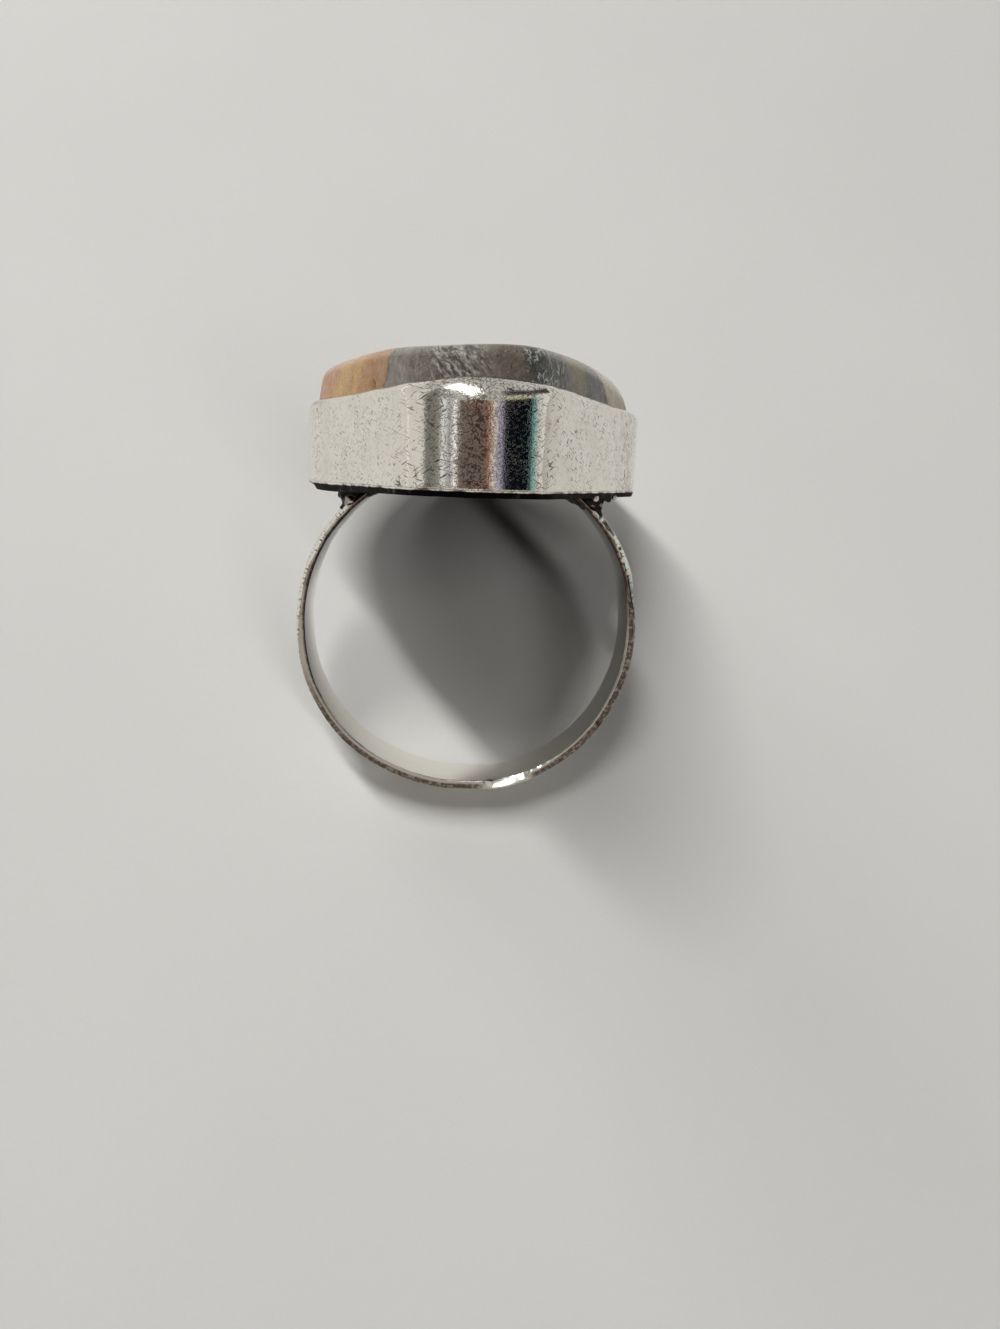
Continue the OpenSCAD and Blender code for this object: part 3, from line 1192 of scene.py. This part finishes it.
def make_jasper():
    finish, tree, shader = new_finish("jasper")
    at = read(tree, "ring_mm")
    ragged = warped(tree, at, 1.1, 0.9)
    slab = along_line(tree, ragged, slab_way)
    at_border = fade(tree, slab, BORDER - 0.12, BORDER + 0.12)
    colour = mix(tree, at_border, warm_rock(tree, at, ragged, slab), spotted(tree, ragged, at))
    edge_line = times(tree, hump_node(tree, slab, BORDER, 0.25), 0.7)
    colour = mix(tree, edge_line, colour, paint(70, 60, 40))
    slate = times(tree, hump_node(tree, slab, BORDER + 0.8, 0.7), 0.6)
    colour = mix(tree, slate, colour, paint(126, 124, 120))
    crumbs = times(tree, fade(tree, grain(tree, at, 8.0, 3.0, 0.7), 0.4, 0.62), 0.35)
    colour = mix(tree, crumbs, colour, paint(60, 52, 44))
    rough = fade(tree, grain(tree, at, 2.0, 4.0), 0.3, 0.7, 0.3, 0.5)
    rough = times(tree, rough, fade(tree, read(tree, "polish"), 0.0, 1.0, 1.0, 0.35))
    skin = bump(tree, grain(tree, at, 5.0, 5.0, 0.65), 0.04)
    wire(tree, shader, Base_Color=colour, Roughness=rough, Normal=skin)
    return finish


wear(jasper, make_jasper())

# %% [markdown]
# The table is plain pale laminate with the fine orange-peel skin of such boards. The lamps light only its
# middle, and polished metal would mirror the dark far end as a black line, so the far end glows a little,
# as if daylight fell on it. The table isn't part of the ring.

# %% Table
TABLE_HALF = 0.6
GLOW_FROM = 0.2
GLOW_FULL = 0.5


def make_table():
    mesh = bpy.data.meshes.new("table")
    corners = [(x * TABLE_HALF, y * TABLE_HALF, 0) for x, y in ((-1, -1), (1, -1), (1, 1), (-1, 1))]
    mesh.from_pydata(corners, [], [(0, 1, 2, 3)])
    table = bpy.data.objects.new("table", mesh)
    bpy.context.collection.objects.link(table)
    finish, tree, shader = new_finish("pale_laminate")
    at = add(tree, "ShaderNodeTexCoord", {}).outputs["Object"]
    peel = bump(tree, grain(tree, at, 1100.0, 2.0), 0.03)
    colour = mix(tree, grain(tree, at, 30.0, 3.0), paint(204, 202, 198), paint(212, 210, 206))
    off = add(tree, "ShaderNodeVectorMath", {0: at}, operation="LENGTH").outputs["Value"]
    glow = fade(tree, off, GLOW_FROM, GLOW_FULL, 0.0, 0.85)
    wire(tree, shader, Base_Color=colour, Roughness=0.5, Specular_IOR_Level=0.15, Normal=peel)
    wire(tree, shader, Emission_Color=paint(206, 204, 200), Emission_Strength=glow)
    wear(table, finish)
    return table


table = make_table()

# %% [markdown]
# Silver shows what stands round it, so most of its look is the light. The straight sides of the wall
# mirror the table, and the rounded nose mirrors what stands above and behind the camera. In a studio
# such stripes come from dark and coloured cards. Here the sky itself carries them, worked out from
# directions in the room, so they stay where they are when the view moves.

# %% Cards round the ring
card_pale = paint(209, 207, 203)

# (share of the half turn from the left to the right of the nose, colour)
card_stripes = [
    (0.115, card_pale), (0.13, paint(112, 112, 106)), (0.245, paint(128, 127, 120)),
    (0.262, paint(222, 228, 228)), (0.3, paint(204, 208, 208)), (0.316, paint(132, 128, 140)),
    (0.335, paint(150, 146, 150)), (0.345, paint(255, 255, 255)), (0.365, paint(250, 248, 246)),
    (0.378, paint(108, 98, 94)), (0.575, paint(98, 88, 84)), (0.585, paint(140, 76, 58)),
    (0.603, paint(160, 104, 82)), (0.613, paint(212, 202, 188)), (0.64, paint(196, 188, 184)),
    (0.655, paint(164, 162, 184)), (0.685, paint(152, 152, 180)), (0.703, paint(12, 16, 24)),
    (0.905, paint(8, 12, 18)), (0.918, paint(80, 138, 140)), (0.935, paint(128, 172, 170)),
    (0.955, paint(160, 180, 176)), (0.985, card_pale),
]


def cards(tree, share, upwards):
    """The cards' stripes, greyer low down and redder in the middle higher up."""
    stripes = ramp(tree, share, card_stripes)
    stripes = mix(tree, fade(tree, upwards, -0.1, -0.14), stripes, paint(158, 152, 145))
    red = times(tree, fade(tree, upwards, 0.06, 0.1), hump_node(tree, share, 0.5, 0.12), 0.35)
    return mix(tree, red, stripes, paint(180, 122, 102))


def ceiling(tree, share, upwards, height):
    """The pale room over the cards, with a dark arc and an olive spot high on the right."""
    pale = mix(tree, fade(tree, height, -0.1, 0.6), card_pale, paint(184, 184, 181))
    arc = times(
        tree, fade(tree, upwards, 0.45, 0.52), fade(tree, upwards, 0.7, 0.62),
        fade(tree, share, 0.66, 0.72),
    )
    pale = mix(tree, arc, pale, paint(58, 54, 52))
    olive = times(tree, hump_node(tree, share, 0.8, 0.14), hump_node(tree, upwards, 0.35, 0.12))
    return mix(tree, olive, pale, paint(176, 170, 122))


def where_cards(tree, share, upwards, forwards):
    """1 where the cards stand, in front of the nose. The one furthest left reaches higher."""
    top = fade(tree, share, 0.27, 0.25, 0.27, 0.75)
    under_top = fade(tree, minus(tree, top, upwards), -0.05, 0.05)
    return times(tree, under_top, fade(tree, upwards, -0.5, -0.4), fade(tree, forwards, 0.0, 0.1))


print("The nose mirrors", len(card_stripes), "stops of colour")

# %% [markdown]
# The tube over the table shows in the rolled rim as a white patch. An area lamp can show in a
# mirror by itself. Here the lamps below are hidden from mirrors, and the sky carries the tube's
# image, worked out from where it hangs, so that its brightness and its soft edge can be set
# without touching the shadows.

# %% The room in the mirror
TUBE_HEIGHT = 0.4
TUBE_SHARE = (-0.3, 0.27)
TUBE_LIGHT = (4.0, 4.0, 3.9, 1.0)
tube_way = Vector((0.66, -0.75)).normalized()


def tube_image(tree, toward):
    """1 where a direction meets the ceiling tube, seen from the table."""
    height = axis(tree, toward, "Z")
    east = chain(tree, "DIVIDE", (axis(tree, toward, "X"), height))
    north = chain(tree, "DIVIDE", (axis(tree, toward, "Y"), height))
    spot = sheet_of(tree, minus(tree, east, TUBE_SHARE[0]), minus(tree, north, TUBE_SHARE[1]))
    along = size_of(tree, along_line(tree, spot, (tube_way[0], tube_way[1], 0)))
    across = size_of(tree, along_line(tree, spot, (-tube_way[1], tube_way[0], 0)))
    return times(
        tree, fade(tree, along, 0.48, 0.4), fade(tree, across, 0.17, 0.1),
        fade(tree, height, 0.2, 0.3),
    )


def make_room():
    world = bpy.data.worlds.new("studio")
    world.use_nodes = True
    tree = world.node_tree
    toward = add(tree, "ShaderNodeTexCoord", {}).outputs["Generated"]
    forwards = along_line(tree, toward, ALONG)
    upwards = along_line(tree, toward, UP)
    heading = chain(tree, "ARCTAN2", (along_line(tree, toward, ACROSS), forwards))
    share = fade_line(tree, heading, -radians(90), radians(90))
    pale = ceiling(tree, share, upwards, axis(tree, toward, "Z"))
    seen = mix(tree, where_cards(tree, share, upwards, forwards), pale, cards(tree, share, upwards))
    seen = mix(tree, tube_image(tree, toward), seen, TUBE_LIGHT)
    ray = add(tree, "ShaderNodeLightPath", {})
    seen = mix(tree, ray.outputs["Is Camera Ray"], seen, paint(206, 205, 202))
    seen = mix(tree, ray.outputs["Is Diffuse Ray"], seen, paint(22, 23, 24))
    sky = tree.nodes["Background"]
    tree.links.new(seen, sky.inputs["Color"])
    sky.inputs["Strength"].default_value = 1.0
    bpy.context.scene.world = world
    print("The room is a sky of", len(tree.nodes), "nodes")


make_room()

# %% [markdown]
# The light itself is one long ceiling tube that passes overhead from the far left to the near
# right, in two stretches of which the near one is weaker. A round or square lamp would blur every
# shadow alike, but a tube leaves the shadow edges that run along it sharp, as on the table here. A
# wide weak lamp low on the far left stands for daylight.

# %% Lamps
LIT_SPOT = Vector((-0.01, 0.02, 0.0))
DAYLIGHT = (0.97, 0.99, 1.0)


def add_lamp(name, foot, height, long_way, length, width, watts, colour=(1, 1, 1)):
    """A flat lamp above a point of the table, facing the ring, with its long side along long_way."""
    lamp = bpy.data.lights.new(name, "AREA")
    lamp.shape = "RECTANGLE"
    lamp.size = length
    lamp.size_y = width
    lamp.energy = watts
    lamp.color = colour
    holder = bpy.data.objects.new(name, lamp)
    place = Vector((foot[0], foot[1], height))
    back = (place - LIT_SPOT).normalized()
    side = Vector((long_way[0], long_way[1], 0))
    side = (side - back * side.dot(back)).normalized()
    axes = Matrix((side, back.cross(side), back)).transposed()
    holder.matrix_world = Matrix.Translation(place) @ axes.to_4x4()
    holder.visible_glossy = False
    bpy.context.collection.objects.link(holder)
    print(name, "gives", watts, "watts from", [round(v, 2) for v in place])


def add_tube(name, share_x, share_y, share_long, share_wide, watts):
    """A stretch of the tube, with its place and size as shares of the tube's height."""
    foot = (share_x * TUBE_HEIGHT, share_y * TUBE_HEIGHT)
    length, width = share_long * TUBE_HEIGHT, share_wide * TUBE_HEIGHT
    add_lamp(name, foot, TUBE_HEIGHT, tube_way, length, width, watts)


add_tube("tube_far", *TUBE_SHARE, 0.72, 0.08, 1.36)
add_tube("tube_near", 0.4, -0.6, 0.75, 0.1, 0.48)
add_lamp("window", (-0.36, 0.5), 0.3, (1, 0), 0.3, 0.15, 1.0, DAYLIGHT)

# %% [markdown]
# The camera looks down along the finger from 6 cm away, which is close, so the near nose looks much
# larger than the tail. Its place and turn were found by fitting the ring's known circles and
# outline to the picture, and are kept in the ring's own frame.

# %% Camera
PICTURE_LONG = 1329
FOCAL_PIXELS = 1000
SENSOR_MM = 36.0
NEAREST_M = 0.002
camera_place = (-0.440, 8.662, 59.882)
camera_pitch = radians(-10.694)
camera_yaw = radians(-2.305)
camera_roll = radians(1.928)


def make_camera():
    data = bpy.data.cameras.new("camera")
    data.sensor_width = SENSOR_MM
    data.lens = FOCAL_PIXELS * SENSOR_MM / PICTURE_LONG
    data.clip_start = NEAREST_M
    camera = bpy.data.objects.new("camera", data)
    turn_in_ring = (
        Matrix.Rotation(camera_yaw, 3, "Y")
        @ Matrix.Rotation(camera_pitch, 3, "X")
        @ Matrix.Rotation(camera_roll, 3, "Z")
    )
    ring_axes = Matrix((ACROSS, UP, ALONG)).transposed()
    facing = (ring_axes @ turn_in_ring).to_4x4()
    camera.matrix_world = Matrix.Translation(on_table(*camera_place)) @ facing
    bpy.context.collection.objects.link(camera)
    bpy.context.scene.camera = camera
    print("The camera stands at", [round(v, 4) for v in camera.matrix_world.translation])


make_camera()
bpy.context.scene.view_settings.view_transform = "Standard"
